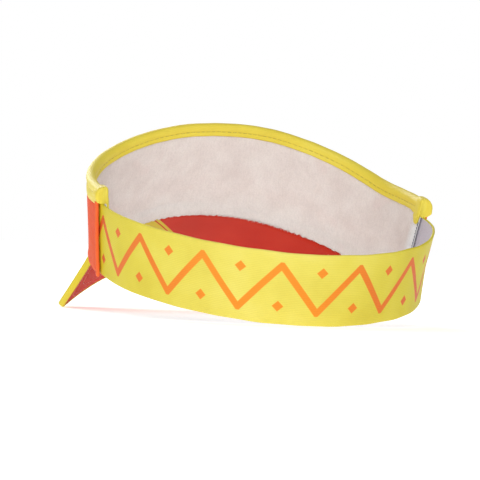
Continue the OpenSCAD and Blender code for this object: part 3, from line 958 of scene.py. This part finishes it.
# -------------------- side seams
def piping(side, word):
    """Folded strip caught in the seam: a flat roll with an open, rounded tip."""
    z = np.concatenate([np.linspace(TAPE_FOOT + 1.5, 1.0, 40), [0.2, -0.5, -1.0, -1.3]])
    s = SEAM_S - 1.05 + 0.14 * waves(z, 0 * z, 12, 61 + side)
    n = 16
    b = 2 * math.pi * np.arange(n) / n
    k = np.ones(len(z))
    k[-4:] = [0.98, 0.9, 0.72, 0.45]
    w = (1.35 + 0.06 * waves(z, 0 * z, 7, 63))[:, None] * k[:, None]
    hgt = (0.92 + 0.07 * waves(z, 0 * z, 5, 65))[:, None] * k[:, None]
    across = w * spow(np.cos(b), 0.8)
    d = -0.45 - hgt * np.sin(b)
    # fold line down the strip
    d = d + 0.22 * np.exp(-((across - 0.35) / 0.22) ** 2) * (np.sin(b) > 0)
    rings = wall(at_arc(s[:, None] + across) * side, z[:, None], d)
    ob = keep(loft(f"seam_piping_{word}", rings, M_PIPE, z + 50, np.linspace(0, 6.5, n + 1)))
    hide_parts(f"side_piping_{word}")


def overlock(side, word):
    """Fine overlocked thread down the strip's rear edge: a chain of links with a short tick at each."""
    pitch = 1.5
    z = np.arange(1.6, TAPE_FOOT - 1.6, pitch)
    s = SEAM_S + 2.45 + 0.06 * waves(z, 0 * z, 9, 71 + side)
    deep = STRIP_BACK + 0.22
    a = at_arc(s) * side
    up = wall_out(a, -1)
    links = wall(a, z, deep), wall(a, z + 1, deep) - wall(a, z - 1, deep)
    slant = wall(at_arc(s - 1) * side, z + 1, deep) - wall(a, z, deep)
    ticks = wall(at_arc(s - 0.5) * side, z + pitch / 2, deep), slant
    mids, dirs = (np.concatenate(x) for x in zip(links, ticks))
    lengths = np.repeat([pitch * 1.25, 1.15], len(z))
    ob = keep(capsules(f"overlock_thread_{word}", mids, dirs, np.concatenate([up, up]), lengths, 0.14,
                       M_GTHREAD))
    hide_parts(f"side_overlock_{word}")


for side, word in SIDES:
    piping(side, word)
    overlock(side, word)


# -------------------- brim
def cover_path(t, h, rows, nose=8):
    """Section of the top cover at a height h: from its turned edge, round the rim and up to the root."""
    a, ln = rim_a(t, 0), rim_len(t, 0)
    p, up = rim_pt(t, 0), rim_n(t, 0)
    out = unit(np.cross(rim_along(t, 0), up))
    q = [(-1.3, -h), (-0.6, -h)]
    for k in range(nose + 1):
        b = math.radians(-90 + 180 * k / nose)
        q.append((GAP + (h - BOARD_T / 2) * math.cos(b), h * math.sin(b)))
    pts = [p + out * x + up * y for x, y in q]
    for j in range(rows - 1, -1, -1):
        d = ln * j / rows
        pts.append(brim_pt(a, d) + brim_n(a, d) * h)
    return np.stack(pts, 1)


RIM_STOP = 0.97
tt = np.linspace(-RIM_STOP, RIM_STOP, 150)
MID = len(tt) // 2
rim_u_mm = np.linspace(0, 300, len(tt))
outer = cover_path(tt, COVER_OUT, 34)
inner = cover_path(tt, COVER_IN, 34)
rings = np.concatenate([outer, inner[:, ::-1]], 1)
# soft unevenness of the cloth, upwards only and past the nose
first = 11
uneven = 0.10 * (1 + waves(outer[..., 0], outer[..., 1], 22, 71))
rings[:, first:outer.shape[1], 2] += uneven[:, first:]
top = keep(loft("brim_top_fabric", rings, M_TOP, rim_u_mm, around(rings[MID])))
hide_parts("brim_top_cover")


def brim_corner(side, word):
    """Tucked corner of the top cloth, over the board's end where the brim meets the panel."""
    t = side * RIM_STOP
    a, ln = rim_a(t, 0), rim_len(t, 0)
    d = np.linspace(ln + 0.25, -0.3, 9)
    r = 0.85
    radii = r * np.array([0.45, 0.8, 0.95, 1, 1, 1, 1, 1, 1])
    ob = keep(tube(f"brim_corner_{word}", brim_pt(a, d), radii, M_TOP, 12, COVER_OUT / r, brim_n(a, d)))
    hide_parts("brim_top_cover")


for side, word in SIDES:
    brim_corner(side, word)


def brim_sheet(t, inset, h0, h1, rows):
    """Section of the under cover between two heights: rim to root, then up behind the lining."""
    a, ln = rim_a(t, inset), rim_len(t, inset)
    faces = []
    for h, behind in ((h1, 0), (h0, 0.45)):
        face = [brim_pt(a, ln * j / rows) + brim_n(a, ln * j / rows) * h for j in range(rows, -1, -1)]
        for z, d in ((-1.9, 1.08), (-0.4, 1.05), (1.2, 1.05), (3.4, 1.05)):
            face.append(wall(a, bottom_z(a) + z, d + behind))
        faces.append(face)
    return np.stack(faces[0] + faces[1][::-1], 1)


UNDER_OUT, UNDER_INSET = COVER_IN + 0.3, 0.6
rings = brim_sheet(tt, UNDER_INSET, -UNDER_OUT, -COVER_IN, 30)
# soft unevenness of the lower face, downwards only and clear of the turned-up part
first = 39
low = rings[:, first:]
rings[:, first:, 2] -= 0.06 * (1 + waves(low[..., 0], low[..., 1], 20, 73))
under = keep(loft("brim_under_fabric", rings, M_UNDER, rim_u_mm, around(rings[MID])))
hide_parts("brim_under_cover")


def brim_stitches(word, face, height, radius, mat):
    """Two rows of stitches that follow the rim, on the upper face (1) or the lower one (-1)."""
    mids, dirs, ups = [], [], []
    for inset in (3.5, 7.5):
        t = np.linspace(-0.9, 0.9, 3000)
        s = run(rim_pt(t, inset))
        t = np.interp(np.arange(1.6, s[-1], PITCH), s, t)
        n = rim_n(t, inset) * face
        mids.append(rim_pt(t, inset) + n * height)
        dirs.append(rim_along(t, inset))
        ups.append(n)
    mids, dirs, ups = (np.concatenate(x) for x in (mids, dirs, ups))
    st = keep(capsules(f"brim_stitches_{word}", mids, dirs, ups, STITCH, radius, mat))
    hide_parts("brim_edge_stitching")


brim_stitches("top", 1, COVER_OUT + 0.16, 0.24, M_YTHREAD)
brim_stitches("under", -1, UNDER_OUT + 0.1, 0.22, M_RTHREAD)


def root_line(a):
    return bottom_z(a) + 1.8


half = float(arc(ROOT_A)) - 3
aa = at_arc(np.arange(-half, half, 3.1))
p_, d_ = along_wall(aa, root_line, -0.42)
st = keep(capsules("root_stitches", p_, d_, wall_out(aa, 1), 2.4, 0.24, M_OTHREAD))
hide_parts("brim_root_stitching")


# -------------------- fibres on the lining's raw lower edge
def fringe():
    """Short loose fibres, thickest where the photo shows them."""
    rng = np.random.default_rng(91)
    half = float(arc(58.0))
    turn = 2 * math.pi * np.arange(3) / 3
    verts, faces = [], []
    for _ in range(2600):
        s = rng.uniform(-half, half)
        a = float(at_arc(s))
        if rng.random() > 0.45 + 0.55 * math.exp(-((s + 25) / 28) ** 2):
            continue
        z0 = float(terry_low(np.array([a]))[0]) + rng.uniform(0.1, 1.2)
        ln = rng.uniform(0.25, 0.7) * (0.6 + 0.9 * math.exp(-((s + 25) / 26) ** 2))
        dep = TERRY_BACK + rng.uniform(-0.9, 0.15)
        da, dd = rng.normal(0, 0.4), rng.normal(0.05, 0.3)
        r = rng.uniform(0.045, 0.08)
        b0 = len(verts)
        for t, share in ((0.0, 1.0), (0.5, 0.8), (1.0, 0.25)):
            p = wall(float(at_arc(s + da * t * t)), z0 - ln * t, dep + dd * t * t)
            verts += [p + np.array([math.cos(w), math.sin(w), 0]) * r * share for w in turn]
        for low in (b0, b0 + 3):
            faces += [[low + q, low + e, low + 3 + e, low + 3 + q] for q, e in ((0, 1), (1, 2), (2, 0))]
        faces += [[b0, b0 + 2, b0 + 1], [b0 + 6, b0 + 7, b0 + 8]]
    ob = mesh("lining_fringe", stand(np.array(verts)), faces, M_FRINGE)
    ob.data.flip_normals()
    return ob


keep(fringe())


# -------------------- the brim's hidden board, which stays a CAD node
board = Mat("board_plastic", rough=0.5, spec=0.4)
nz = board.noise(board.obj(), 400.0, 3.0)
board.colour(board.ramp(nz, [(0.35, srgb("#4A4D51")), (0.65, srgb("#5A5D61"))]))
board.bump(nz, 0.4, 0.1)
board_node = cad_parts["brim_board"]
board_node.data.materials.clear()
board_node.data.materials.append(board.m)


# -------------------- flat cuts of the wall pieces and the brim covers, and their areas
def wall_cut(stop, lo, hi):
    """Flat cut of a piece of the wall: its length and height in metres, and its area."""
    half = float(arc(stop))
    a = at_arc(np.linspace(-half, half, 400))
    h = (hi(a) - lo(a)) / dcos(lean(a))
    return (2 * half / 1000, float(h.max()) / 1000), float(h.mean()) * 2 * half / 1e6


def brim_cut(inset, rim_allowance, root_allowance):
    """Flat cut of a brim cover with what is turned in at the rim and at the root."""
    a, ln = rim_a(tt, inset), rim_len(tt, inset)
    p = np.stack([brim_pt(a, ln * k / 30) for k in range(31)])
    across, along = p[:-1, 1:] - p[:-1, :-1], p[1:, :-1] - p[:-1, :-1]
    field = np.linalg.norm(np.cross(across, along), axis=-1).sum()
    rim = np.linalg.norm(np.diff(p[-1], axis=0), axis=-1).sum()
    base = np.linalg.norm(np.diff(p[0], axis=0), axis=-1).sum()
    deep = np.ptp(p[..., 1]) / dcos(SLOPE)
    size = (float(np.ptp(p[..., 0])) + 2 * rim_allowance, float(deep) + rim_allowance + root_allowance)
    area = field + rim * rim_allowance + base * root_allowance
    return tuple(x / 1000 for x in size), float(area) / 1e6


TAPE_CUT, ROOT_TURN, NOSE_TURN = 18.0, 6.5, 7.0  # the tape's width, and what the brim covers turn in
wall_cut(SHELL_STOP, bottom_z, top_z)
wall_cut(FOAM_STOP, foam_low, foam_high)
wall_cut(LINING_STOP, terry_low, top_z)
brim_cut(0, NOSE_TURN, 0)
brim_cut(UNDER_INSET, 0, ROOT_TURN)


# -------------------- floor, light and camera
paper = Mat("floor_paper", rough=0.9, spec=0.1)
nz = paper.noise(paper.obj(), 6.0, 2.0)
paper.colour(paper.ramp(nz, [(0.3, (0.90, 0.90, 0.90, 1)), (0.7, (0.92, 0.92, 0.92, 1))]))
# Lit from within, more so further out, so that it runs into the white background
paper.b.inputs["Emission Color"].default_value = (1, 1, 1, 1)
reach = paper.node("VectorMath", operation="LENGTH")
paper.link(paper.obj(), reach.inputs[0])
paper.link(paper.span(reach.outputs["Value"], 0.4, 1.4, 0.5, 0.72), paper.b.inputs["Emission Strength"])
FLOOR_R, FLOOR_SIDES = 5.0, 64
turn = 2 * math.pi * np.arange(FLOOR_SIDES) / FLOOR_SIDES
floor_v = np.stack([FLOOR_R * np.cos(turn), FLOOR_R * np.sin(turn), 0 * turn], 1)
floor = mesh("floor", floor_v, [list(range(FLOOR_SIDES))], paper.m, smooth=0)

sc = bpy.context.scene
sc.view_settings.view_transform = "Standard"
sc.view_settings.look = "None"
WORLD_LIGHT, WORLD_SEEN = 0.4, 1.0  # what it sheds on the object, and what the camera sees of it
world = bpy.data.worlds.new("studio")
sc.world = world
world.use_nodes = True
wt = world.node_tree
bg = wt.nodes["Background"]
bg.inputs[0].default_value = (1, 1, 1, 1)
ray = wt.nodes.new("ShaderNodeLightPath")
level = wt.nodes.new("ShaderNodeMapRange")
wt.links.new(ray.outputs["Is Camera Ray"], level.inputs[0])
level.inputs[3].default_value, level.inputs[4].default_value = WORLD_LIGHT, WORLD_SEEN
wt.links.new(level.outputs[0], bg.inputs[1])


def area_light(name, loc, target, size, power):
    li = bpy.data.lights.new(name, "AREA")
    li.shape = "DISK"
    li.size = size
    li.energy = power
    ob = bpy.data.objects.new(name, li)
    sc.collection.objects.link(ob)
    ob.location = loc
    ob.rotation_euler = (Vector(target) - Vector(loc)).to_track_quat("-Z", "Y").to_euler()


# The photo's camera in the band frame: bearing, height and roll in degrees, distance in metres, and the
# height in mm of the point on the middle line that it looks at
BEARING, HEIGHT, ROLL, DISTANCE, LOOK_Z = 162.2101, 11.4977, 5.8682, 1.636455, 23.0263
az, el, roll = (math.radians(x) for x in (BEARING, HEIGHT, ROLL))
back = Vector((math.sin(az) * math.cos(el), -math.cos(az) * math.cos(el), math.sin(el)))
right = Vector((0, 0, 1)).cross(back).normalized()
up = back.cross(right)
cr, cu = right * math.cos(roll) + up * math.sin(roll), up * math.cos(roll) - right * math.sin(roll)
back, cr, cu = (stand_dir(x) for x in (back, cr, cu))
look = Vector(stand(np.array([0.0, 0.0, LOOK_Z])).tolist())
cam = bpy.data.cameras.new("camera")
cam_ob = bpy.data.objects.new("camera", cam)
sc.collection.objects.link(cam_ob)
cam.sensor_width = 36
cam.lens = 251.4932
cam.clip_end = 50
cam.shift_x, cam.shift_y = -0.037308, -0.017288
rot = Matrix(((cr.x, cu.x, back.x), (cr.y, cu.y, back.y), (cr.z, cu.z, back.z)))
cam_ob.matrix_world = Matrix.Translation(look + back * DISTANCE) @ rot.to_4x4()
sc.camera = cam_ob

target = (0, 0.02, 0.045)
above = Vector((0, 0, 0.6))
area_light("key", look + back * 1.5 + cr * -0.1 + above, target, size=0.9, power=11)
area_light("fill", look + back * 1.2 + cr * 1.5 + above, target, size=1.4, power=0.8)
area_light("front", (0.3, -1.9, 1.1), target, size=1.6, power=30)
